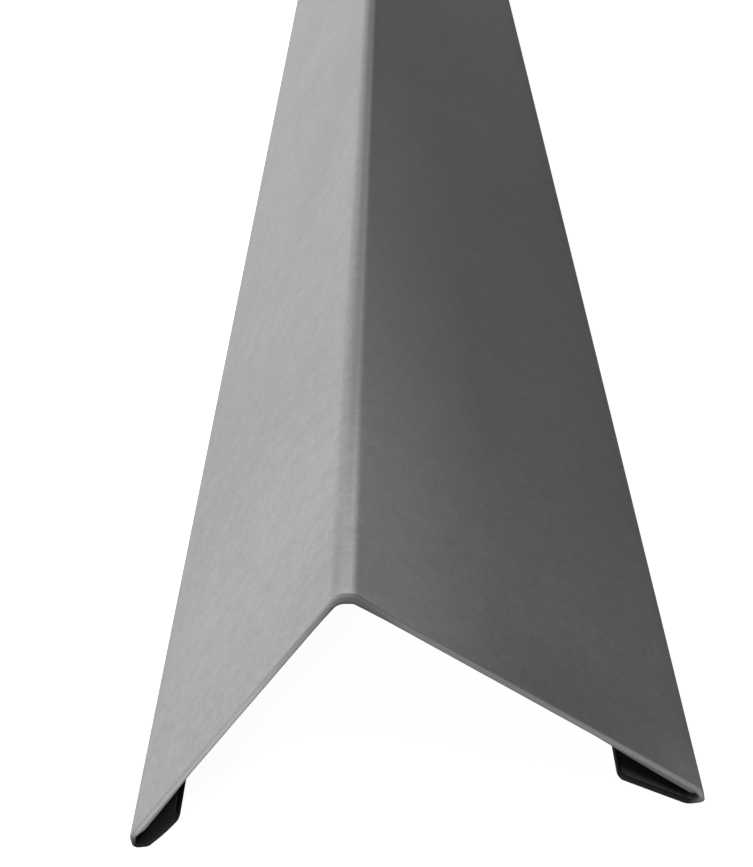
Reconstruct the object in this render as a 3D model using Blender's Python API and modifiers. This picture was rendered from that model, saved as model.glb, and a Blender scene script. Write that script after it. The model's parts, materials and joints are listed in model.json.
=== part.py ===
"""Corner flashing folded from one strip of coated steel sheet, with an open hem along each edge.

Metres, +Z up. The length runs along Y. The flashing lies as it would on a level floor: the ridge bend
is on top, the hollow is underneath, and both hem noses touch z = 0. The origin is at the bottom centre.
"""

import math

import bmesh
import bpy
from mathutils import Matrix, Vector

# Sheet and stock
SHEET_THICKNESS = 0.0008
STOCK_LENGTH = 1.0

# Flanges: the width is measured outside, from the sharp corner to the nose of the hem
FLANGE_WIDTH = 0.050

# Ridge bend: the angle is the one between the flanges
FLANGE_ANGLE = math.radians(90)
RIDGE_INNER_RADIUS = 0.0010

# Open hems: each return is the flat past the nose, and its flare is its angle to the flange
HEM_INNER_RADIUS = 0.00075
LEFT_RETURN_WIDTH = 0.0065
RIGHT_RETURN_WIDTH = 0.0082
LEFT_RETURN_FLARE = math.radians(5)
RIGHT_RETURN_FLARE = math.radians(10)

# Facets and finish
BEND_STEP = math.radians(7.5)
SHARP_EDGE = math.radians(30)
COAT_COLOUR = (0.34, 0.34, 0.34, 1.0)
COAT_ROUGHNESS = 0.45
COAT_METALLIC = 0.0


def clear_scene():
    """Removes every object, so that the file holds the flashing alone."""
    for thing in list(bpy.data.objects):
        bpy.data.objects.remove(thing, do_unlink=True)


def flange_flat():
    """The straight part of a flange: its width less the ridge bend's setback and the hem nose."""
    ridge_setback = (RIDGE_INNER_RADIUS + SHEET_THICKNESS) * math.tan((math.pi - FLANGE_ANGLE) / 2)
    hem_nose = HEM_INNER_RADIUS + SHEET_THICKNESS
    return FLANGE_WIDTH - ridge_setback - hem_nose


def bend_chain():
    """The folds in the order in which they follow each other across the strip.

    Each entry is the flat before the bend, the bend's inner radius and its turn, always to the same hand.
    """
    return [
        (LEFT_RETURN_WIDTH, HEM_INNER_RADIUS, math.pi - LEFT_RETURN_FLARE),
        (flange_flat(), RIDGE_INNER_RADIUS, math.pi - FLANGE_ANGLE),
        (flange_flat(), HEM_INNER_RADIUS, math.pi - RIGHT_RETURN_FLARE),
    ]


def fold_strip(chain, last_flat):
    """Follows the middle of the sheet along the folds, and returns its points and the bends' centres."""
    place = Vector((0.0, 0.0))
    heading = Vector((-1.0, 0.0))
    points = [place.copy()]
    centres = []
    for flat, inner_radius, turn in chain:
        place = place + heading * flat
        points.append(place.copy())
        radius = inner_radius + SHEET_THICKNESS / 2
        centre = place + Vector((heading.y, -heading.x)) * radius
        steps = max(2, math.ceil(turn / BEND_STEP))
        arm = place - centre
        for step in range(1, steps + 1):
            points.append(centre + Matrix.Rotation(-turn * step / steps, 2) @ arm)
        place = points[-1].copy()
        heading = Matrix.Rotation(-turn, 2) @ heading
        centres.append(centre)
    points.append(place + heading * last_flat)
    return points, centres


def set_down(points, centres):
    """Turns the section until both hem noses are level, and puts the origin below its middle."""
    left_nose = centres[0]
    right_nose = centres[-1]
    across = right_nose - left_nose
    level = Matrix.Rotation(-math.atan2(across.y, across.x), 2)
    nose_radius = HEM_INNER_RADIUS + SHEET_THICKNESS
    foot = level @ ((left_nose + right_nose) / 2) - Vector((0.0, nose_radius))
    return [level @ point - foot for point in points]


def sheet_surface(name, section):
    """The middle surface of the sheet: the section's open line, extruded along the length."""
    shape = bmesh.new()
    line = [shape.verts.new((point.x, -STOCK_LENGTH / 2, point.y)) for point in section]
    edges = [shape.edges.new(pair) for pair in zip(line, line[1:])]
    pulled = bmesh.ops.extrude_edge_only(shape, edges=edges)
    moved = [item for item in pulled["geom"] if isinstance(item, bmesh.types.BMVert)]
    bmesh.ops.translate(shape, verts=moved, vec=(0.0, STOCK_LENGTH, 0.0))
    bmesh.ops.recalc_face_normals(shape, faces=shape.faces)
    mesh = bpy.data.meshes.new(name)
    shape.to_mesh(mesh)
    shape.free()
    mesh.shade_smooth()
    mesh.set_sharp_from_angle(angle=SHARP_EDGE)
    return mesh


def coat():
    """The grey baked coating of the sheet."""
    material = bpy.data.materials.new("grey_coat")
    material.use_nodes = True
    shader = material.node_tree.nodes["Principled BSDF"]
    shader.inputs["Base Color"].default_value = COAT_COLOUR
    shader.inputs["Roughness"].default_value = COAT_ROUGHNESS
    shader.inputs["Metallic"].default_value = COAT_METALLIC
    return material


def folded_sheet():
    """The flashing itself: the folded middle surface, thickened evenly to both sides."""
    points, centres = fold_strip(bend_chain(), RIGHT_RETURN_WIDTH)
    mesh = sheet_surface("folded_sheet", set_down(points, centres))
    sheet = bpy.data.objects.new("folded_sheet", mesh)
    sheet.data.materials.append(coat())
    wall = sheet.modifiers.new("sheet_thickness", "SOLIDIFY")
    wall.thickness = SHEET_THICKNESS
    wall.offset = 0.0
    wall.use_even_offset = True
    return sheet


def main():
    clear_scene()
    flashing = bpy.data.collections.new("corner_flashing")
    bpy.context.scene.collection.children.link(flashing)
    flashing.objects.link(folded_sheet())


main()
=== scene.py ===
"""Studio scene of an internal corner flashing, folded from one strip of coated steel sheet.

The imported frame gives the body, the box and the length. The sheet is worked out in its flat state, as
distance across the strip, distance along it and height through the sheet, and is then carried round the
folds: an open hem, a flange, the ridge bend, a second flange and a second open hem. The scene adds what a
plain folded solid lacks: a ridge that is a little flat on top, sheared ends with a rolled rim, a smooth
band and a torn band, flanges that are not quite flat, lips that wander a little, and the finish of each
side of the sheet.
"""

from __future__ import annotations

import json
import logging
import math
from dataclasses import dataclass, field
from enum import Enum

import bpy
import numpy as np
from mathutils import Matrix, Vector

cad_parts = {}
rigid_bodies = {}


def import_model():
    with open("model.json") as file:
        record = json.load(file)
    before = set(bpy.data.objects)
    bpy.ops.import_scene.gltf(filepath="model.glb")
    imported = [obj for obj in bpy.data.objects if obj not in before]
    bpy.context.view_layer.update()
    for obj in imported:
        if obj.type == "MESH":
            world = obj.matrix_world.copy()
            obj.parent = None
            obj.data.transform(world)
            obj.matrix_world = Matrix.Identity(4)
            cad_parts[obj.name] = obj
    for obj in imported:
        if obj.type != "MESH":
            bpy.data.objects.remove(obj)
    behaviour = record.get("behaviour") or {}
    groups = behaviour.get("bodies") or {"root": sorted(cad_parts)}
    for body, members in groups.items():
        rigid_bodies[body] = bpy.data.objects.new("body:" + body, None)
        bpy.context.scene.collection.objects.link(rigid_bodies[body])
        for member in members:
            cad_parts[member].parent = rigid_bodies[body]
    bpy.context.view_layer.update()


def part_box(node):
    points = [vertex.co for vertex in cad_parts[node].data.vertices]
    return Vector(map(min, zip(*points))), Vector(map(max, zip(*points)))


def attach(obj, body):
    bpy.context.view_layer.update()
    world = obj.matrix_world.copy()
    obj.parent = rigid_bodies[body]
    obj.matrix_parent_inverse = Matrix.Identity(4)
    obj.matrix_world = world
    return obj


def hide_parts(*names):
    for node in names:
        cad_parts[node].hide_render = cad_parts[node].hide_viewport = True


LOG = logging.getLogger("corner_flashing")
MM = 0.001
CAD_NODE = "folded_sheet"
BODY = "root"
BAKE_MAP = "OFBake"
NOISE_MIDDLE = 0.5
NOISE_SPAN = (0.3, 0.7)

# A node's socket, and what one can be fed from
Socket = bpy.types.NodeSocket
Value = Socket | float

# The picture's frame in pixels
PICTURE_WIDTH = 753
PICTURE_HEIGHT = 867


class Skin(Enum):
    """The kinds of surface on the sheet, in the order of its material slots."""

    COAT = 0
    REVERSE = 1
    CUT = 2


# Shapes


@dataclass(frozen=True)
class Stretch:
    """One stretch of the strip, from the left lip to the right lip: flat, or bent to one radius."""

    length: float
    turn: float
    cells: int


class FoldPath:
    """The middle line of the sheet across the strip, as flats and arcs that follow each other."""

    def __init__(self, stretches: list[Stretch]) -> None:
        """Works out where each stretch starts and which way it points there.

        Args:
            stretches: the flats and bends in order. Every bend turns clockwise, seen from the near end.
        """
        self.stretches = stretches
        self.lengths = np.array([stretch.length for stretch in stretches])
        self.turns = np.array([stretch.turn for stretch in stretches])
        self.starts = np.concatenate(([0.0], np.cumsum(self.lengths)))
        self.headings = math.pi - np.concatenate(([0.0], np.cumsum(self.turns)))
        self.places = np.zeros((len(stretches) + 1, 2))
        for index, stretch in enumerate(stretches):
            heading = self.headings[index] - stretch.turn / 2
            chord = stretch.length * np.sinc(stretch.turn / 2 / np.pi)
            step = chord * np.array((math.cos(heading), math.sin(heading)))
            self.places[index + 1] = self.places[index] + step

    @property
    def width(self) -> float:
        """The developed width of the strip."""
        return float(self.starts[-1])

    def bend_centre(self, index: int) -> np.ndarray:
        """The centre that a bend turns round.

        Args:
            index: the bend's place in the list of stretches.

        Returns:
            The centre as x and z.
        """
        radius = self.lengths[index] / self.turns[index]
        heading = self.headings[index]
        return self.places[index] + radius * np.array((math.sin(heading), -math.cos(heading)))

    def lay_down(self, first: int, last: int, middle: float, height: float) -> None:
        """Turns and moves the path until two of its bends are level, as the free sheet lies on a floor.

        Args:
            first: the left hem's bend.
            last: the right hem's bend.
            middle: the x that the two bends end up on either side of.
            height: the z that both bends' centres end up at.
        """
        left, right = self.bend_centre(first), self.bend_centre(last)
        tilt = math.atan2(right[1] - left[1], right[0] - left[0])
        turn = np.array(((math.cos(tilt), math.sin(tilt)), (-math.sin(tilt), math.cos(tilt))))
        foot = turn @ ((left + right) / 2) - np.array((middle, height))
        self.places = self.places @ turn.T - foot
        self.headings = self.headings - tilt

    def follow(self, across: np.ndarray) -> tuple[np.ndarray, np.ndarray, np.ndarray]:
        """Follows the path. A point on a stretch lies at the far end of a chord: the chord is the arc's
        length times sine of half the turn over half the turn, and it points half the turn off the
        stretch's first heading. On a flat the turn is nought, so the chord is the flat itself.

        Args:
            across: distances along the path, as an array of any shape.

        Returns:
            The x, the z and the heading at each distance.
        """
        index = np.searchsorted(self.starts, across, side="right") - 1
        index = np.clip(index, 0, len(self.lengths) - 1)
        gone = across - self.starts[index]
        half = -self.turns[index] / self.lengths[index] * gone / 2
        chord = gone * np.sinc(half / np.pi)
        heading = self.headings[index] + half
        x = self.places[index, 0] + chord * np.cos(heading)
        z = self.places[index, 1] + chord * np.sin(heading)
        return x, z, heading + half

    def stations(self, guard: float) -> np.ndarray:
        """The distances at which the mesh has a column: evenly over each stretch, with one more close to
        each end of each flat, so that a flat stays flat right up to its bend.

        Args:
            guard: how close to the end of a flat the extra column is.

        Returns:
            The distances in rising order, with both lips.
        """
        even = [
            start + stretch.length * np.arange(stretch.cells) / stretch.cells
            for start, stretch in zip(self.starts, self.stretches)
        ]
        inner = np.array([stretch.turn == 0.0 for stretch in self.stretches])
        after = self.starts[:-1][inner] + guard
        before = self.starts[1:][inner] - guard
        return np.unique(np.concatenate([*even, after, before, [self.width]]))


@dataclass(frozen=True)
class ShearedEdge:
    """The edge that a shear leaves: a rolled rim on the coated side, a smooth band, and a torn band that
    leans back to a rounded burr, which hangs a little below the reverse."""

    rim_radius: float = 0.22 * MM
    ridge_rim_radius: float = 0.74 * MM
    ridge_reach: float = 3.5 * MM
    tip_radius: float = 0.14 * MM
    torn_lean: float = 0.03 * MM
    burr: float = 0.05 * MM
    ridge_burr: float = 0.16 * MM
    left_hem_burr: float = 0.28 * MM
    right_hem_burr: float = 0.46 * MM
    hem_start: float = 34.0 * MM
    burr_reach: float = 0.35 * MM
    return_fade: float = 1.0 * MM
    smooth_depth: float = 0.35
    rim_limit: float = 0.95
    wander: float = 0.03 * MM
    rim_steps: int = 5
    tip_steps: int = 3

    def rim(self, from_ridge: np.ndarray) -> np.ndarray:
        """The rim's radius: the plain radius on the flats, growing along a bell curve towards the ridge,
        where the coat is stretched over the bend.

        Args:
            from_ridge: distances from the middle of the ridge, along the strip.

        Returns:
            The radius at each distance.
        """
        bell = np.exp(-((from_ridge / self.ridge_reach) ** 2))
        return self.rim_radius + (self.ridge_rim_radius - self.rim_radius) * bell

    def drop(self, from_ridge: np.ndarray, hem_end: float) -> np.ndarray:
        """How far the burr hangs below the reverse: least on the middle of a flange, more over the ridge
        along a bell curve, and more towards the hem along a quarter of a sine wave up to the fold.

        Args:
            from_ridge: distances from the middle of the ridge, along the strip.
            hem_end: the distance at which the hem's bend starts.

        Returns:
            The burr's height at each distance, fading to nought past the start of the hem's bend.
        """
        away = np.abs(from_ridge)
        bell = np.exp(-((away / self.ridge_reach) ** 2))
        share = np.clip((away - self.hem_start) / (hem_end - self.hem_start), 0.0, 1.0)
        hem_burr = np.where(from_ridge < 0, self.left_hem_burr, self.right_hem_burr)
        plain = self.burr + self.ridge_burr * bell + hem_burr * np.sin(np.pi / 2 * share)
        past = np.clip((away - hem_end) / self.return_fade, 0.0, 1.0)
        return plain * (1 - past)

    def profile(self, radius: np.ndarray, burr: np.ndarray,
                thickness: float) -> list[tuple[np.ndarray, np.ndarray]]:
        """The edge's profile from the coated face to the reverse: a quarter circle, the smooth band
        straight down to a share of the half below the middle or to just past the circle's end, whichever
        is lower, the torn band leaning inwards in a straight line, and the burr's quarter circle.

        Args:
            radius: the rim's radius at each point along the edge.
            burr: how far the burr hangs below the reverse at each point.
            thickness: the sheet's thickness.

        Returns:
            For each line along the edge, its inset from the cut plane and its height through the sheet,
            counted from the middle.
        """
        lines = []
        half = thickness / 2
        for step in range(self.rim_steps + 1):
            angle = math.pi / 2 * step / self.rim_steps
            inset = radius * (1 - math.sin(angle))
            lines.append((inset, half - radius * (1 - math.cos(angle))))
        lines.append((0 * radius, np.minimum(-self.smooth_depth * half, self.rim_limit * half - radius)))
        for step in range(self.tip_steps + 1):
            angle = math.pi / 2 * step / self.tip_steps
            inset = self.torn_lean + self.tip_radius * (1 - math.cos(angle))
            height = self.tip_radius * (1 - math.sin(angle)) - half - burr
            lines.append((inset + 0 * radius, height))
        return lines


@dataclass
class FoldedSheet:
    """The flashing: one sheet with a hemmed flange on each side of a ridge bend. Lengths in metres."""

    near_end: float
    far_end: float
    middle: float
    floor: float
    box_low: Vector
    box_high: Vector

    thickness: float = 0.8 * MM
    flange_width: float = 50.0 * MM
    flange_angle: float = math.radians(90)
    crown_left: float = 1.50 * MM
    crown_right: float = 2.00 * MM
    crown_left_radius: float = 2.50 * MM
    crown_right_radius: float = 1.80 * MM
    hem_radius: float = 0.75 * MM
    left_return: float = 6.5 * MM
    right_return: float = 8.2 * MM
    left_flare: float = math.radians(5)
    right_flare: float = math.radians(10)

    canning: float = 0.05 * MM
    canning_lag: float = 1.7
    lip_wander: float = 0.10 * MM
    return_bow: float = 0.14 * MM
    nose_pinch: float = 0.40 * MM
    pinch_reach: float = math.radians(24)
    corner_ease: float = 1.00 * MM
    ease_reach: float = 4.00 * MM
    guard: float = 0.12 * MM
    bend_fade: float = 0.6 * MM
    crown_wear_and_highlight_fade: float = 0.7 * MM
    corner_highlight_fade: float = 1.8 * MM
    corner_fade: float = 0.15 * MM
    shoulder_fade: float = 20.0 * MM
    end_zone: float = 3.6 * MM
    end_rows: tuple[float, ...] = (0.0, 0.03, 0.07, 0.12, 0.18, 0.27, 0.5)
    row_pitch: float = 6.5 * MM
    bake_margin: float = 2.0 * MM
    edge: ShearedEdge = field(default_factory=ShearedEdge)

    LEFT_LIP_WAVES = (0.19, 0.067)
    RIGHT_LIP_WAVES = (0.157, 0.049)
    SHEAR_WAVES = (23.0 * MM, 9.1 * MM, 3.7 * MM)
    RETURN_CELLS = 7
    HEM_CELLS = 28
    FLANGE_CELLS = 26
    CORNER_CELLS = 8
    CROWN_CELLS = 4
    LEFT_HEM = 1
    LEFT_FLANGE = 2
    CROWN = 4
    RIGHT_FLANGE = 6
    RIGHT_HEM = 7
    FLANGE_WAVES = {LEFT_FLANGE: (0.31, 0.127, 0.071), RIGHT_FLANGE: (0.23, 0.143, 0.083)}

    def __post_init__(self) -> None:
        """Lays out the folds from the sizes. The crown is the third side of a triangle whose other two
        run from the sharp corner down each flange, so its length and the turn onto it come from them."""
        low_side = self.crown_left - self.crown_right * math.cos(self.flange_angle)
        high_side = self.crown_right * math.sin(self.flange_angle)
        crown = math.hypot(low_side, high_side)
        left_turn = math.atan2(high_side, low_side)
        right_turn = math.pi - self.flange_angle - left_turn
        left_setback = self.crown_left_radius * math.tan(left_turn / 2)
        right_setback = self.crown_right_radius * math.tan(right_turn / 2)
        nose = self.hem_radius + self.thickness
        reach = self.flange_width - nose
        self.path = FoldPath([
            Stretch(self.left_return, 0.0, self.RETURN_CELLS),
            self.bend(nose, math.pi - self.left_flare, self.HEM_CELLS),
            Stretch(reach - self.crown_left - left_setback, 0.0, self.FLANGE_CELLS),
            self.bend(self.crown_left_radius, left_turn, self.CORNER_CELLS),
            Stretch(crown - left_setback - right_setback, 0.0, self.CROWN_CELLS),
            self.bend(self.crown_right_radius, right_turn, self.CORNER_CELLS),
            Stretch(reach - self.crown_right - right_setback, 0.0, self.FLANGE_CELLS),
            self.bend(nose, math.pi - self.right_flare, self.HEM_CELLS),
            Stretch(self.right_return, 0.0, self.RETURN_CELLS),
        ])
        self.path.lay_down(self.LEFT_HEM, self.RIGHT_HEM, self.middle, self.floor + nose)
        starts = self.path.starts
        self.ridge_line = (starts[self.CROWN] + starts[self.CROWN + 1]) / 2
        self.fold_line = starts[self.RIGHT_HEM] - self.ridge_line

    def bend(self, outer_radius: float, turn: float, cells: int) -> Stretch:
        """A bend as a stretch of the middle line: its length is the turn times the middle radius."""
        return Stretch((outer_radius - self.thickness / 2) * turn, turn, cells)

    def place(self, across: np.ndarray, along: np.ndarray, through: np.ndarray) -> np.ndarray:
        """Carries flat sheet coordinates round the folds: the point on the middle line, plus the height
        through the sheet and the unevenness of the sheet, both along the line's normal.

        Args:
            across: distance from the left lip.
            along: distance from the middle of the length.
            through: height from the middle of the sheet towards the coated face.

        Returns:
            The points, with a last axis of x, y and z.
        """
        x, z, heading = self.path.follow(across)
        lift = through + self.unevenness(across, along)
        x = x - np.sin(heading) * lift
        z = z + np.cos(heading) * lift
        return np.stack((x, along + 0 * x, z), axis=-1)

    def unevenness(self, across: np.ndarray, along: np.ndarray) -> np.ndarray:
        """How far the sheet stands off its true line. On a flange it is the canning height times a sine
        arch across the flat, squared, times the mean of three sine waves along the length, which lag more
        the further down the flange they run. On a return it is the wander times the square of the share
        of the way from the hem to the lip, times the mean of two sine waves. Both start from nothing at
        the near end. The left return also bows out along a sine arch, and each hem's nose is pinched out
        along a bell curve about its middle.

        Args:
            across: distance from the left lip.
            along: distance from the middle of the length.

        Returns:
            The height off the true line at each point.
        """
        gone = along - self.near_end
        starts = self.path.starts
        total = 0 * (across + along)
        for index, waves in self.FLANGE_WAVES.items():
            share = np.clip((across - starts[index]) / self.path.lengths[index], 0.0, 1.0)
            arch = np.sin(np.pi * share) ** 2
            lag = self.canning_lag * share
            sway = sum(np.sin(2 * np.pi * gone / wave + lag) - np.sin(lag) for wave in waves)
            total = total + self.canning * arch * sway / len(waves)
        on_left = np.clip(1 - across / self.left_return, 0.0, 1.0)
        on_right = np.clip((across - starts[-2]) / self.right_return, 0.0, 1.0)
        for share, waves in ((on_left, self.LEFT_LIP_WAVES), (on_right, self.RIGHT_LIP_WAVES)):
            sway = sum(np.sin(2 * np.pi * gone / wave) for wave in waves)
            total = total + self.lip_wander * share**2 * sway / len(waves)
        total = total + self.return_bow * np.sin(np.pi * on_left)
        for index in (self.LEFT_HEM, self.RIGHT_HEM):
            share = (across - starts[index]) / self.path.lengths[index]
            angle = (share - 0.5) * self.path.turns[index]
            total = total + self.nose_pinch * np.exp(-((angle / self.pinch_reach) ** 2))
        return total

    def ease_corners(self, across: np.ndarray, along: np.ndarray) -> np.ndarray:
        """Rounds the four corners of the flat strip. Within the rounding's radius of an end, a lip draws
        in by the radius less the root of the radius squared less the shortfall squared, and the columns
        beside it share the move over the reach.

        Args:
            across: distance from the left lip.
            along: distance from the middle of the length.

        Returns:
            The eased distance from the left lip.
        """
        radius = self.corner_ease
        from_end = np.minimum(along - self.near_end, self.far_end - along)
        shortfall = np.clip(radius - from_end, 0.0, radius)
        draw = radius - np.sqrt(radius**2 - shortfall**2)
        left = np.clip(1 - across / self.ease_reach, 0.0, 1.0)
        right = np.clip(1 - (self.path.width - across) / self.ease_reach, 0.0, 1.0)
        return across + draw * (left - right)

    def shear_line(self, across: np.ndarray) -> np.ndarray:
        """How far inside the true end the shear ran: the wander times the mean of three sine waves across
        the strip, raised and halved so that it is never below nought."""
        waves = self.SHEAR_WAVES
        sway = sum(np.sin(2 * np.pi * across / wave + wave / MM) for wave in waves) / len(waves)
        return self.edge.wander * (1 + sway) / 2

    def rows(self) -> np.ndarray:
        """Distances from the near end at which the mesh has a row: close together at both ends, where the
        rim and the corner are, at set shares of the end zone, and evenly in between. The first and last
        stand for the ends."""
        length = self.far_end - self.near_end
        close = np.array(self.end_rows) * self.end_zone
        inner = round((length - 2 * self.end_zone) / self.row_pitch)
        even = np.linspace(self.end_zone, length - self.end_zone, inner + 1)
        return np.concatenate((close, even, length - close[::-1]))

    def flat_grid(self, inset: np.ndarray, lip_inset: float) -> tuple[np.ndarray, np.ndarray]:
        """One face of the flat strip as a grid, drawn in from the ends and the lips. The rows near an end
        make room for the first: each moves by the inset times the share of the end zone left beyond it.

        Args:
            inset: how far the face's first and last rows are inside the true ends, for each column.
            lip_inset: how far its first and last columns are inside the lips.

        Returns:
            Two grids of distances, across and along, with a row for each column of the strip.
        """
        columns = self.path.stations(self.guard)
        across = np.clip(columns, lip_inset, self.path.width - lip_inset)[:, None]
        rows = self.rows()
        near_share = np.clip(1 - rows / self.end_zone, 0.0, 1.0)
        move = inset[:, None] * (near_share - near_share[::-1])
        return np.repeat(across, len(rows), axis=1), self.near_end + rows + move

    @staticmethod
    def border(grid: np.ndarray) -> np.ndarray:
        """The outline of a grid as one closed line: near end, right lip, far end, left lip."""
        return np.concatenate((grid[:-1, 0], grid[-1, :-1], grid[:0:-1, -1], grid[0, :0:-1]))

    def surface(self) -> tuple[np.ndarray, np.ndarray, dict[Skin, list[np.ndarray]]]:
        """The whole skin of the sheet: a grid for the coated face, a grid for the reverse, and between
        their outlines the lines of the sheared edge, all in flat coordinates and then folded.

        Returns:
            The folded points, their flat coordinates, and the quads of each skin as point numbers.
        """
        half = self.thickness / 2
        columns = self.path.stations(self.guard)
        sheared = self.shear_line(columns)
        rim = self.edge.rim(columns - self.ridge_line)
        burr = self.edge.drop(columns - self.ridge_line, self.fold_line)
        lines = self.edge.profile(rim, burr, self.thickness)
        lip_lines = self.edge.profile(np.array(self.edge.rim_radius), np.zeros(()), self.thickness)
        points: list[np.ndarray] = []
        quads: dict[Skin, list[np.ndarray]] = {skin: [] for skin in Skin}
        rings: list[np.ndarray] = []
        count = 0
        for number, ((inset, height), (lip_inset, _)) in enumerate(zip(lines, lip_lines)):
            across, along = self.flat_grid(sheared + inset, float(lip_inset))
            across = self.ease_corners(across, along)
            through = np.repeat(np.broadcast_to(height, columns.shape)[:, None], across.shape[1], axis=1)
            if number == len(lines) - 1:
                from_end = np.minimum(along - self.near_end, self.far_end - along)
                through = -half + (through + half) * np.exp(-((from_end / self.edge.burr_reach) ** 2))
            flat = np.stack((across, along, through), axis=-1)
            if number in (0, len(lines) - 1):
                numbers = count + np.arange(across.size).reshape(across.shape)
                points.append(flat.reshape(-1, 3))
                rings.append(self.border(numbers))
                corners = (numbers[:-1, :-1], numbers[1:, :-1], numbers[1:, 1:], numbers[:-1, 1:])
                face = np.stack(corners, axis=-1).reshape(-1, 4)
                skin = Skin.COAT if number == 0 else Skin.REVERSE
                quads[skin].append(face if number == 0 else face[:, ::-1])
                count += across.size
            else:
                ring = self.border(flat)
                points.append(ring)
                rings.append(count + np.arange(len(ring)))
                count += len(ring)
        for upper, lower in zip(rings, rings[1:]):
            band = np.stack((upper, lower, np.roll(lower, -1), np.roll(upper, -1)), axis=-1)
            quads[Skin.CUT].append(band)
        flat = np.concatenate(points)
        folded = self.place(*flat.T)
        return np.clip(folded, self.box_low, self.box_high), flat, quads

    def build(self, coat: GreyCoat, reverse: ReverseCoat, cut: CutMetal) -> bpy.types.Object:
        """Makes the mesh of the sheet, with its bake map and its attributes, and dresses its three skins.

        Args:
            coat: the finish of the face side.
            reverse: the finish of the hollow side.
            cut: the finish of the sheared edge.

        Returns:
            The object, at the origin, with its place in its mesh.
        """
        points, flat, quads = self.surface()
        faces = np.concatenate([quad for skin in Skin for quad in quads[skin]])
        skins = np.concatenate([np.full(len(quad), skin.value) for skin in Skin for quad in quads[skin]])
        mesh = bpy.data.meshes.new("flashing_sheet")
        mesh.from_pydata(points.tolist(), [], faces.tolist())
        mesh.polygons.foreach_set("material_index", skins.astype(np.int32))
        mesh.shade_smooth()
        self.add_bake_map(mesh, flat, faces, skins)
        across, through = flat[:, 0], flat[:, 2]
        layers = {
            **self.coat_marks(across),
            "hem_depth": self.hem_depth(across),
            # The edge's greys with their painted light and shade, and the rim's with its painted shade.
            "edge_tone_painted_light_shade": cut.tones(across - self.ridge_line, cut.metal_greys_and_painted_light),
            "rim_tone_painted_shade": cut.tones(across - self.ridge_line, cut.rim_greys_and_painted_shade),
            "through": through / self.thickness + 0.5,
        }
        for name, values in layers.items():
            layer = mesh.attributes.new(name, "FLOAT", "POINT")
            layer.data.foreach_set("value", values.astype(np.float32))
        for finish in (coat, reverse, cut):
            mesh.materials.append(finish.build())
        mesh.update()
        sheet = bpy.data.objects.new("flashing_sheet", mesh)
        bpy.context.scene.collection.objects.link(sheet)
        return sheet

    def hem_depth(self, across: np.ndarray) -> np.ndarray:
        """How deep inside a hem each point of the strip lies: nought at the hem's mouth and outside it,
        one at the fold, in a straight line between them on the return and on the flange that it covers.

        Args:
            across: distance from the left lip.

        Returns:
            The depth, from nought to one.
        """
        starts = self.path.starts
        fold = starts[self.LEFT_FLANGE]
        left = np.minimum(across / self.left_return, 1 - (across - fold) / self.left_return)
        from_right = self.path.width - across
        fold = self.path.width - starts[self.RIGHT_HEM]
        right = np.minimum(from_right / self.right_return, 1 - (from_right - fold) / self.right_return)
        return np.clip(np.maximum(left, right), 0.0, 1.0)

    def coat_marks(self, across: np.ndarray) -> dict[str, np.ndarray]:
        """Marks what the coat's finish sets apart: one on it, nought off it, and straight lines between.
        The bends fade to both sides. The crown and the corner, which carry the coat's wear and painted
        highlight, end sharply at the middle of the ridge's right corner, and the shoulder, which carries
        painted light, starts sharply there and fades out down the right flange.

        Args:
            across: distance from the left lip.

        Returns:
            The marks, under the names that the finish reads.
        """
        starts = self.path.starts
        crown, corner = starts[self.CROWN], starts[self.CROWN + 1]
        middle = (corner + starts[self.CROWN + 2]) / 2
        before, after = middle - self.corner_fade, middle + self.corner_fade
        shape = (0.0, 1.0, 1.0, 0.0)
        spans = (
            (starts[self.LEFT_HEM], starts[self.LEFT_FLANGE]),
            (starts[self.LEFT_FLANGE + 1], starts[self.RIGHT_FLANGE]),
            (starts[self.RIGHT_HEM], starts[self.RIGHT_HEM + 1]),
        )
        fade = self.bend_fade
        bends = [np.interp(across, (low - fade, low, high, high + fade), shape) for low, high in spans]
        return {
            "bend": np.maximum.reduce(bends),
            "crown": np.interp(across, (crown - self.crown_wear_and_highlight_fade, crown, before, after), shape),
            "corner": np.interp(across, (corner - self.corner_highlight_fade, corner, before, after), shape),
            "shoulder": np.interp(across, (before, after, middle + self.shoulder_fade), (0.0, 1.0, 0.0)),
        }

    def add_bake_map(self, mesh: bpy.types.Mesh, flat: np.ndarray, faces: np.ndarray,
                     skins: np.ndarray) -> None:
        """Lays the strip out flat in four panels that fill a square: the near and the far half of the
        coated face, then the near and the far half of the reverse. The edges lie round the coated panels,
        as far outside them as they are below the coated face.

        Args:
            mesh: the mesh that gets the map.
            flat: the flat coordinates of its points.
            faces: its quads.
            skins: the skin of each quad.
        """
        half_length = (self.far_end - self.near_end) / 2
        margin = self.bake_margin
        panel = self.path.width + 2 * margin
        corner = flat[faces]
        centre = corner.mean(axis=1)
        reverse = (skins == Skin.REVERSE.value)[:, None]
        far = centre[:, 1:2] > (self.near_end + self.far_end) / 2
        below = np.where(reverse, 0.0, self.thickness / 2 - corner[:, :, 2])
        lip_zone = 2 * self.edge.rim_radius
        on_left = (centre[:, 0:1] < lip_zone) & ~reverse
        on_right = (centre[:, 0:1] > self.path.width - lip_zone) & ~reverse
        across = corner[:, :, 0] + below * (on_right.astype(float) - on_left.astype(float))
        ends = ~(on_left | on_right)
        from_near = corner[:, :, 1] - self.near_end
        from_near = from_near + below * np.where(far, 1.0, -1.0) * ends
        u = (across + margin + panel * (2 * reverse + far)) / (4 * panel)
        v = (from_near - half_length * far + margin) / (half_length + 2 * margin)
        layer = mesh.uv_layers.new(name=BAKE_MAP, do_init=False)
        layer.uv.foreach_set("vector", np.stack((u, v), axis=-1).astype(np.float32).ravel())


# Finishes


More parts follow.
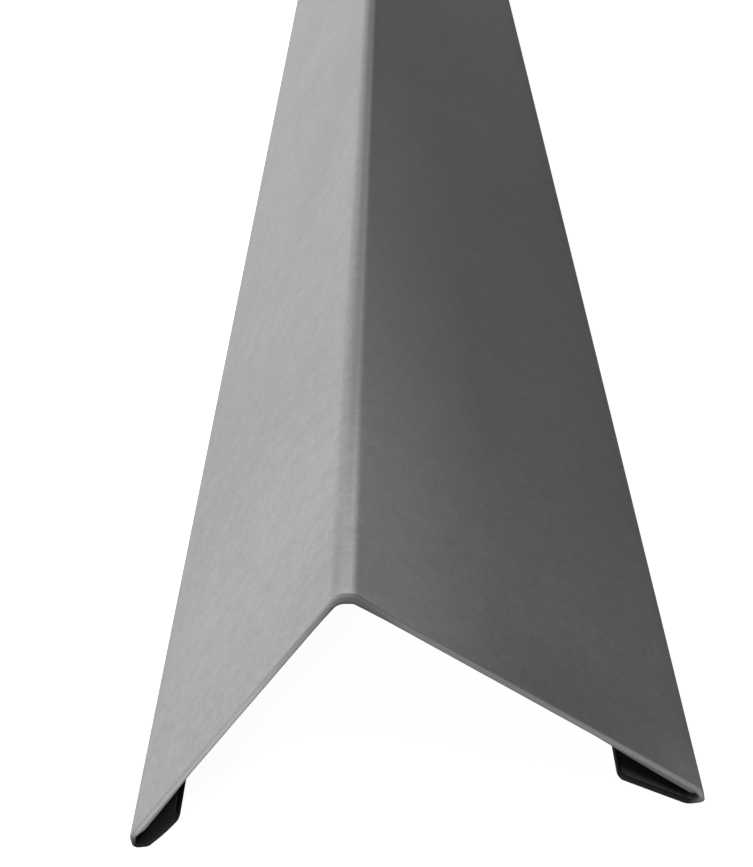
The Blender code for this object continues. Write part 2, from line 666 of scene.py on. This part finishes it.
class Bench:
    """The node tree of one finish, with short calls that add nodes and join them."""

    def __init__(self, name: str) -> None:
        """Starts a material with its Principled shader, and a node for the object's coordinates."""
        self.material = bpy.data.materials.new(name)
        self.material.use_nodes = True
        self.tree = self.material.node_tree
        self.shader = self.tree.nodes["Principled BSDF"]
        self.place = self.tree.nodes.new("ShaderNodeTexCoord").outputs["Object"]

    def join(self, value: Value, socket: Socket) -> None:
        """Feeds a socket from another socket, or sets it to a number."""
        if isinstance(value, Socket):
            self.tree.links.new(value, socket)
        else:
            socket.default_value = value

    def maths(self, operation: str, *values: Value) -> Socket:
        """One Math node on up to three values."""
        node = self.tree.nodes.new("ShaderNodeMath")
        node.operation = operation
        for value, socket in zip(values, node.inputs):
            self.join(value, socket)
        return node.outputs[0]

    def product(self, *values: Value) -> Socket:
        """Several values multiplied together."""
        total = values[0]
        for value in values[1:]:
            total = self.maths("MULTIPLY", total, value)
        return total

    def span(self, value: Socket, source: tuple[float, float], target: tuple[float, float],
             smooth: bool = False) -> Socket:
        """Maps one span of values to another and holds it at both ends.

        Args:
            value: what is mapped.
            source: the span that it comes from.
            target: the span that it goes to.
            smooth: whether the slope eases in and out.

        Returns:
            The mapped value.
        """
        node = self.tree.nodes.new("ShaderNodeMapRange")
        node.interpolation_type = "SMOOTHSTEP" if smooth else "LINEAR"
        self.join(value, node.inputs["Value"])
        for name, number in zip(("From Min", "From Max", "To Min", "To Max"), (*source, *target)):
            node.inputs[name].default_value = number
        return node.outputs["Result"]

    def noise(self, size: float, detail: float = 2.0, stretch: float = 1.0) -> Socket:
        """Noise over the object's own coordinates.

        Args:
            size: the size of its patches, in metres.
            detail: how many finer layers it has.
            stretch: how many times longer the patches are along the sheet.

        Returns:
            The noise, about the noise's middle and mostly within its span.
        """
        mapping = self.tree.nodes.new("ShaderNodeMapping")
        mapping.inputs["Scale"].default_value = [1.0 / (size * times) for times in (1.0, stretch, 1.0)]
        self.join(self.place, mapping.inputs["Vector"])
        node = self.tree.nodes.new("ShaderNodeTexNoise")
        node.inputs["Scale"].default_value = 1.0
        node.inputs["Detail"].default_value = detail
        self.join(mapping.outputs["Vector"], node.inputs["Vector"])
        return node.outputs["Fac"]

    def vary(self, noise: Socket, amount: float) -> Socket:
        """Turns a noise into a factor that mostly stays within the amount of one."""
        return self.span(noise, NOISE_SPAN, (1.0 - amount, 1.0 + amount))

    def push(self, base: Value, value: Value, rest: Value, share: Value) -> Socket:
        """The base, plus a share of how far the value is off its rest."""
        return self.maths("MULTIPLY_ADD", self.maths("SUBTRACT", value, rest), share, base)

    def across(self) -> Socket:
        """The object's own X, from the left hem to the right."""
        node = self.tree.nodes.new("ShaderNodeSeparateXYZ")
        self.join(self.place, node.inputs[0])
        return node.outputs["X"]

    def attribute(self, name: str) -> Socket:
        """A number that the mesh holds for each point."""
        node = self.tree.nodes.new("ShaderNodeAttribute")
        node.attribute_name = name
        return node.outputs["Fac"]

    def mark(self, mark: Mark) -> Socket:
        """The factor of a soft round mark on the tone: its shade at its middle, easing to one at its
        radius, by the distance in the object's coordinates."""
        node = self.tree.nodes.new("ShaderNodeVectorMath")
        node.operation = "DISTANCE"
        self.join(self.place, node.inputs[0])
        node.inputs[1].default_value = mark.place
        return self.span(node.outputs["Value"], (0.0, mark.radius), (mark.shade, 1.0), smooth=True)

    def bump(self, height: Socket, distance: float) -> None:
        """Gives the shader a bump.

        Args:
            height: the relief, where one unit is the distance.
            distance: the relief's height in metres.
        """
        node = self.tree.nodes.new("ShaderNodeBump")
        node.inputs["Distance"].default_value = distance
        self.join(height, node.inputs["Height"])
        self.join(node.outputs["Normal"], self.shader.inputs["Normal"])

    def finish(self, tone: Socket, roughness: Value, specular: float) -> bpy.types.Material:
        """Sets the shader's main sockets.

        Args:
            tone: the neutral grey of the surface, from nought to one.
            roughness: how matt it is.
            specular: the specular level.

        Returns:
            The finished material.
        """
        self.join(tone, self.shader.inputs["Base Color"])
        self.join(roughness, self.shader.inputs["Roughness"])
        self.shader.inputs["Specular IOR Level"].default_value = specular
        return self.material


@dataclass(frozen=True)
class Mark:
    """A soft round mark on the coat: its middle, its reach, and the factor on the tone at its middle."""

    place: tuple[float, float, float]
    radius: float
    shade: float


@dataclass(frozen=True)
class GreyCoat:
    """The even grey baked coating of the face side, nearly matt, with orange peel, a fine mottle, faint
    lengthwise streaks from rolling that show most over the bends, and some small handling marks. Its broad
    faint marks near the near end are painted light and painted shade on the right flange and painted shade
    on the ridge's left corner. Towards the near end it is paler on the crown, from wear and a painted
    highlight, most of all at the crown's right corner, where the extra is painted highlight, and on the
    shoulder, which is the right flange just below that corner, as painted light."""

    grey: float = 0.34
    roughness: float = 0.55
    bend_roughness: float = 0.60
    roughness_change: float = 0.03
    specular: float = 0.02
    peel_size: float = 1.1 * MM
    peel_change: float = 0.055
    peel_height: float = 0.006 * MM
    grain_size: float = 0.30 * MM
    grain_change: float = 0.06
    grain_share: float = 0.35
    mottle_size: float = 3.5 * MM
    mottle_change: float = 0.035
    cloud_size: float = 22.0 * MM
    cloud_stretch: float = 2.5
    cloud_change: float = 0.035
    streak_size: float = 0.28 * MM
    streak_stretch: float = 90.0
    streak_changes: tuple[float, float] = (0.02, 0.16)
    marks: tuple[Mark, ...] = (
        Mark((-0.01651, -0.48868, 0.02039), 2.4 * MM, 0.95),
        Mark((-0.02068, -0.46184, 0.01622), 3.5 * MM, 0.96),
        Mark((0.01090, -0.47932, 0.02600), 4.0 * MM, 0.94),
        Mark((-0.03125, -0.49737, 0.00566), 3.0 * MM, 1.03),
        Mark((-0.03372, -0.49904, 0.00318), 1.4 * MM, 0.93),
        Mark((0.03399, -0.49911, 0.00291), 8.0 * MM, 1.32),
        # Painted light on the right flange near the crown at the near end.
        Mark((0.00800, -0.47500, 0.02890), 50.0 * MM, 1.09),
        # Painted shade on the right flange near the near end.
        Mark((0.02150, -0.50000, 0.01540), 20.0 * MM, 0.87),
        # Painted shade on the ridge's left corner near the near end, which holds back a glint.
        Mark((-0.00200, -0.49300, 0.03450), 14.0 * MM, 0.94),
    )
    # Paler towards the near end: wear and a painted highlight on the crown, a painted highlight at its
    # right corner, painted light on the shoulder.
    crown_wear_and_highlight: Mark = Mark((0.0003, -0.5050, 0.0358), 60.0 * MM, 1.64)
    corner_highlight: Mark = Mark((0.0020, -0.5000, 0.0350), 320.0 * MM, 1.41)
    shoulder: Mark = Mark((0.0020, -0.5000, 0.0350), 320.0 * MM, 1.48)

    def build(self) -> bpy.types.Material:
        """Makes the material."""
        bench = Bench("satin_grey_coat")
        peel = bench.noise(self.peel_size)
        grain = bench.noise(self.grain_size)
        mottle = bench.noise(self.mottle_size, detail=3.0)
        cloud = bench.noise(self.cloud_size, stretch=self.cloud_stretch)
        streak = bench.noise(self.streak_size, detail=1.0, stretch=self.streak_stretch)
        bend = bench.attribute("bend")
        drawn = bench.span(bend, (0.0, 1.0), self.streak_changes)
        lines = bench.push(1.0, streak, NOISE_MIDDLE, drawn)
        # Wear and painted highlight on the crown, painted highlight on the corner, painted light on the
        # shoulder.
        for name, mark in (("crown", self.crown_wear_and_highlight), ("corner", self.corner_highlight), ("shoulder", self.shoulder)):
            lines = bench.push(lines, bench.mark(mark), 1.0, bench.attribute(name))
        tone = bench.product(
            bench.vary(grain, self.grain_change),
            self.grey,
            bench.vary(peel, self.peel_change),
            bench.vary(mottle, self.mottle_change),
            bench.vary(cloud, self.cloud_change),
            lines,
            *(bench.mark(mark) for mark in self.marks),
        )
        relief = bench.maths("ADD", peel, bench.product(grain, self.grain_share))
        bench.bump(relief, self.peel_height)
        uneven = bench.span(peel, NOISE_SPAN, (-self.roughness_change, self.roughness_change))
        plain = bench.span(bend, (0.0, 1.0), (self.roughness, self.bend_roughness))
        roughness = bench.maths("ADD", uneven, plain)
        return bench.finish(tone, roughness, self.specular)


@dataclass(frozen=True)
class ReverseCoat:
    """The thin dark backing coat of the hollow side, its darkness partly painted shade, darker down inside
    the left hem as painted shade and a little paler inside the right one as painted light, for that hem
    stands more open but gets less light."""

    grey: float = 0.10
    left_hem_painted_shade: float = 0.045
    right_hem_painted_light: float = 0.15
    side_change: float = 1.0 * MM
    mouth: float = 0.12
    roughness: float = 0.6
    specular: float = 0.02
    grain_size: float = 0.4 * MM
    grain_change: float = 0.06
    grain_height: float = 0.004 * MM
    cloud_size: float = 15.0 * MM
    cloud_stretch: float = 3.0
    cloud_change: float = 0.08

    def build(self) -> bpy.types.Material:
        """Makes the material."""
        bench = Bench("dark_backing_coat")
        depth = bench.attribute("hem_depth")
        greys = (self.left_hem_painted_shade, self.right_hem_painted_light)
        # Painted shade inside the left hem, painted light inside the right one, by depth in the hem.
        hem_painted_light_shade = bench.span(bench.across(), (-self.side_change, self.side_change), greys)
        inside = bench.span(depth, (0.0, self.mouth), (0.0, 1.0), smooth=True)
        grain = bench.noise(self.grain_size)
        cloud = bench.noise(self.cloud_size, stretch=self.cloud_stretch)
        tone = bench.product(
            bench.push(self.grey, hem_painted_light_shade, self.grey, inside),
            bench.vary(grain, self.grain_change),
            bench.vary(cloud, self.cloud_change),
        )
        bench.bump(grain, self.grain_height)
        return bench.finish(tone, self.roughness, self.specular)


@dataclass(frozen=True)
class CutMetal:
    """The sheared edge. Its rim is the coat drawn over the edge, ragged where the shear tore it, and below
    it is bare metal. The edge's greys are painted light and shade: dark over the ridge as painted shade,
    paler along each flange towards its hem as painted light, nearly black round the fold and the return as
    painted shade, and painted shade towards its lower side. The rim is painted dark round the folds and
    returns as well. Each table gives a grey at a distance from the ridge in millimetres, negative to the
    left."""

    # The bare metal's greys, with painted shade over the ridge and round the folds and returns, and painted
    # light along the flanges.
    metal_greys_and_painted_light: tuple[tuple[float, float], ...] = (
        (-49.6, 0.02), (-48.6, 0.20), (-47.4, 0.70), (-21.0, 0.70), (-5.0, 0.36), (0.0, 0.17), (4.0, 0.18),
        (8.0, 0.30), (24.0, 0.31), (34.0, 0.37), (48.2, 0.38), (49.4, 0.08), (50.0, 0.02),
    )
    # The rim's coat grey, with painted shade round the folds and returns.
    rim_greys_and_painted_shade: tuple[tuple[float, float], ...] = (
        (-53.0, 0.03), (-50.4, 0.10), (-49.4, 0.32), (-16.0, 0.33), (0.0, 0.34), (16.0, 0.32), (48.8, 0.32),
        (50.2, 0.06), (53.0, 0.03),
    )
    roughness: float = 0.5
    specular: float = 0.04
    tear_size: float = 0.12 * MM
    tear_change: float = 0.07
    tear_height: float = 0.006 * MM
    raggedness: float = 0.6
    coat_span: tuple[float, float] = (0.58, 1.0)
    shade_span: tuple[float, float] = (-0.1, 0.35)
    lower_shade: float = 0.5

    @staticmethod
    def tones(from_ridge: np.ndarray, table: tuple[tuple[float, float], ...]) -> np.ndarray:
        """Reads a table of greys, in straight lines between its entries.

        Args:
            from_ridge: distances from the middle of the ridge, along the strip.
            table: the distances in millimetres and the greys.

        Returns:
            The grey at each distance.
        """
        places, greys = np.array(table).T
        return np.interp(from_ridge / MM, places, greys)

    def build(self) -> bpy.types.Material:
        """Makes the material."""
        bench = Bench("sheared_edge_metal")
        through = bench.attribute("through")
        # The metal's greys with their painted light and shade, and the rim's with its painted shade.
        metal = bench.attribute("edge_tone_painted_light_shade")
        rim = bench.attribute("rim_tone_painted_shade")
        tear = bench.noise(self.tear_size)
        ragged = bench.push(through, tear, NOISE_MIDDLE, self.raggedness)
        coated = bench.span(ragged, self.coat_span, (0.0, 1.0), smooth=True)
        tone = bench.product(
            bench.push(metal, rim, metal, coated),
            # Painted shade towards the edge's lower side.
            bench.span(through, self.shade_span, (self.lower_shade, 1.0), smooth=True),
            bench.vary(tear, self.tear_change),
        )
        bench.bump(tear, self.tear_height)
        return bench.finish(tone, self.roughness, self.specular)


# Studio


@dataclass(frozen=True)
class Softbox:
    """A rectangular soft lamp. Its strength is the tone that a white card facing it gets at its aim."""

    name: str
    place: tuple[float, float, float]
    aim: tuple[float, float, float]
    width: float
    height: float
    strength: float

    def build(self) -> None:
        """Makes the lamp. A card's tone is the light on it over pi, and a small lamp's light at a distance
        is its power over pi and the distance squared, so the power is the tone times pi squared times the
        distance squared."""
        place, aim = Vector(self.place), Vector(self.aim)
        light = bpy.data.lights.new(self.name, "AREA")
        light.shape = "RECTANGLE"
        light.size = self.width
        light.size_y = self.height
        light.energy = self.strength * math.pi**2 * (place - aim).length_squared
        lamp = bpy.data.objects.new(self.name, light)
        lamp.location = place
        lamp.rotation_euler = (place - aim).to_track_quat("Z", "Y").to_euler()
        lamp.visible_camera = False
        bpy.context.scene.collection.objects.link(lamp)


@dataclass(frozen=True)
class Studio:
    """A pale floor and a dim even surround, both white where the camera sees them, a broad key from the
    left with a low lamp behind it, a lamp high behind the ridge, a weak one from the right, a small one
    close over the near end, and a low one in front for the cut end."""

    floor_radius: float = 6.0
    floor_grey: float = 0.45
    floor_roughness: float = 0.9
    floor_glow: float = 0.96
    surround: float = 0.02
    lamps: tuple[Softbox, ...] = (
        Softbox("key_softbox", (-2.3, 0.0, 0.9), (0.0, -0.4, 0.02), 1.2, 1.2, 0.84),
        Softbox("low_left_softbox", (-0.9, 0.7, 0.45), (0.0, -0.4, 0.02), 1.1, 0.7, 0.20),
        Softbox("ridge_softbox", (0.1, 1.2, 1.25), (0.0, -0.4, 0.02), 0.4, 0.4, 0.128),
        Softbox("right_softbox", (0.5, 0.2, 0.25), (0.0, -0.49, 0.02), 0.25, 0.25, 0.023),
        Softbox("near_end_softbox", (0.05, -0.56, 0.20), (0.0, -0.49, 0.02), 0.08, 0.08, 0.20),
        Softbox("front_softbox", (-0.6, -2.0, 0.22), (0.0, -0.49, 0.02), 0.6, 0.6, 0.50),
    )

    def build(self, height: float) -> None:
        """Makes the floor, the surround and the lamps.

        Args:
            height: the height of the floor.
        """
        self.floor(height)
        self.world()
        for softbox in self.lamps:
            softbox.build()
            LOG.info("lamp %s, strength %.2f", softbox.name, softbox.strength)

    def floor(self, height: float) -> bpy.types.Object:
        """The floor: a square sheet of the floor's grey, with a glow added where the camera sees it, which
        brings it to white but leaves the shadow on it.

        Args:
            height: the height of the floor.

        Returns:
            The floor's object.
        """
        reach = self.floor_radius
        mesh = bpy.data.meshes.new("studio_floor")
        square = ((-1, -1), (1, -1), (1, 1), (-1, 1))
        mesh.from_pydata([(x * reach, y * reach, height) for x, y in square], [], [(0, 1, 2, 3)])
        floor = bpy.data.objects.new("studio_floor", mesh)
        bpy.context.scene.collection.objects.link(floor)
        bench = Bench("pale_floor")
        sockets = bench.shader.inputs
        sockets["Base Color"].default_value = (self.floor_grey,) * 3 + (1.0,)
        sockets["Emission Color"].default_value = (1.0, 1.0, 1.0, 1.0)
        glow = bench.product(self.seen(bench.tree), self.floor_glow)
        bench.join(glow, sockets["Emission Strength"])
        bench.join(self.floor_roughness, sockets["Roughness"])
        bench.join(0.0, sockets["Specular IOR Level"])
        mesh.materials.append(bench.material)
        return floor

    @staticmethod
    def seen(tree: bpy.types.NodeTree) -> Socket:
        """One where the camera sees a thing, straight, in a gloss or through glass, and nought for the
        light that falls on things.

        Args:
            tree: the node tree that asks.

        Returns:
            The socket with the answer.
        """
        path = tree.nodes.new("ShaderNodeLightPath")
        answer = path.outputs["Is Camera Ray"]
        for way in ("Is Glossy Ray", "Is Transmission Ray"):
            either = tree.nodes.new("ShaderNodeMath")
            either.operation = "MAXIMUM"
            tree.links.new(answer, either.inputs[0])
            tree.links.new(path.outputs[way], either.inputs[1])
            answer = either.outputs[0]
        return answer

    def world(self) -> None:
        """The surround: dim for the light that falls on things, and white where the camera sees it."""
        world = bpy.data.worlds.new("surround")
        world.use_nodes = True
        bpy.context.scene.world = world
        nodes, links = world.node_tree.nodes, world.node_tree.links
        background = nodes["Background"]
        background.inputs["Color"].default_value = (1.0, 1.0, 1.0, 1.0)
        level = nodes.new("ShaderNodeMapRange")
        level.inputs["To Min"].default_value = self.surround
        level.inputs["To Max"].default_value = 1.0
        links.new(self.seen(world.node_tree), level.inputs["Value"])
        links.new(level.outputs["Result"], background.inputs["Strength"])


@dataclass(frozen=True)
class PhotoCamera:
    """The photograph's camera: close above the near end, looking along the ridge and down, and turned a
    little about its own line of sight. Its optical centre is left of the middle of the picture."""

    place: tuple[float, float, float] = (0.024273, -0.631828, 0.134173)
    heading: float = math.radians(19.582)
    tilt: float = math.radians(27.369)
    roll: float = math.radians(-18.925)
    focal_pixels: float = 1462.9
    centre_across: float = 83.9
    sensor: float = 36.0
    nearest: float = 5.0 * MM

    def build(self) -> None:
        """Makes the camera and hands it to the scene. The turns are, in order, the roll about its own
        line of sight, the tilt down from the level, and the heading about the upright."""
        lens = bpy.data.cameras.new("photo_camera")
        lens.sensor_width = self.sensor
        lens.lens = self.sensor * self.focal_pixels / PICTURE_HEIGHT
        lens.shift_x = (PICTURE_WIDTH / 2 - self.centre_across) / PICTURE_HEIGHT
        lens.clip_start = self.nearest
        camera = bpy.data.objects.new("photo_camera", lens)
        heading = Matrix.Rotation(self.heading, 4, "Z")
        tilt = Matrix.Rotation(math.pi / 2 - self.tilt, 4, "X")
        roll = Matrix.Rotation(self.roll, 4, "Z")
        camera.matrix_world = Matrix.Translation(self.place) @ heading @ tilt @ roll
        bpy.context.scene.collection.objects.link(camera)
        bpy.context.scene.camera = camera


def clear_scene() -> None:
    """Removes every object that the file opened with."""
    for thing in list(bpy.data.objects):
        bpy.data.objects.remove(thing, do_unlink=True)


def main() -> None:
    """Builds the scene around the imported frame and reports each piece."""
    logging.basicConfig(level=logging.INFO, format="%(name)s: %(message)s")
    clear_scene()
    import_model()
    low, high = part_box(CAD_NODE)
    bpy.context.scene.view_settings.view_transform = "Standard"

    sheet = FoldedSheet(low.y, high.y, (low.x + high.x) / 2, low.z, low, high)
    piece = sheet.build(GreyCoat(), ReverseCoat(), CutMetal())
    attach(piece, BODY)
    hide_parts(CAD_NODE)
    mesh = piece.data
    LOG.info("piece %s: %d points, %d faces", piece.name, len(mesh.vertices), len(mesh.polygons))

    Studio().build(low.z)
    PhotoCamera().build()


if __name__ == "__main__":
    main()
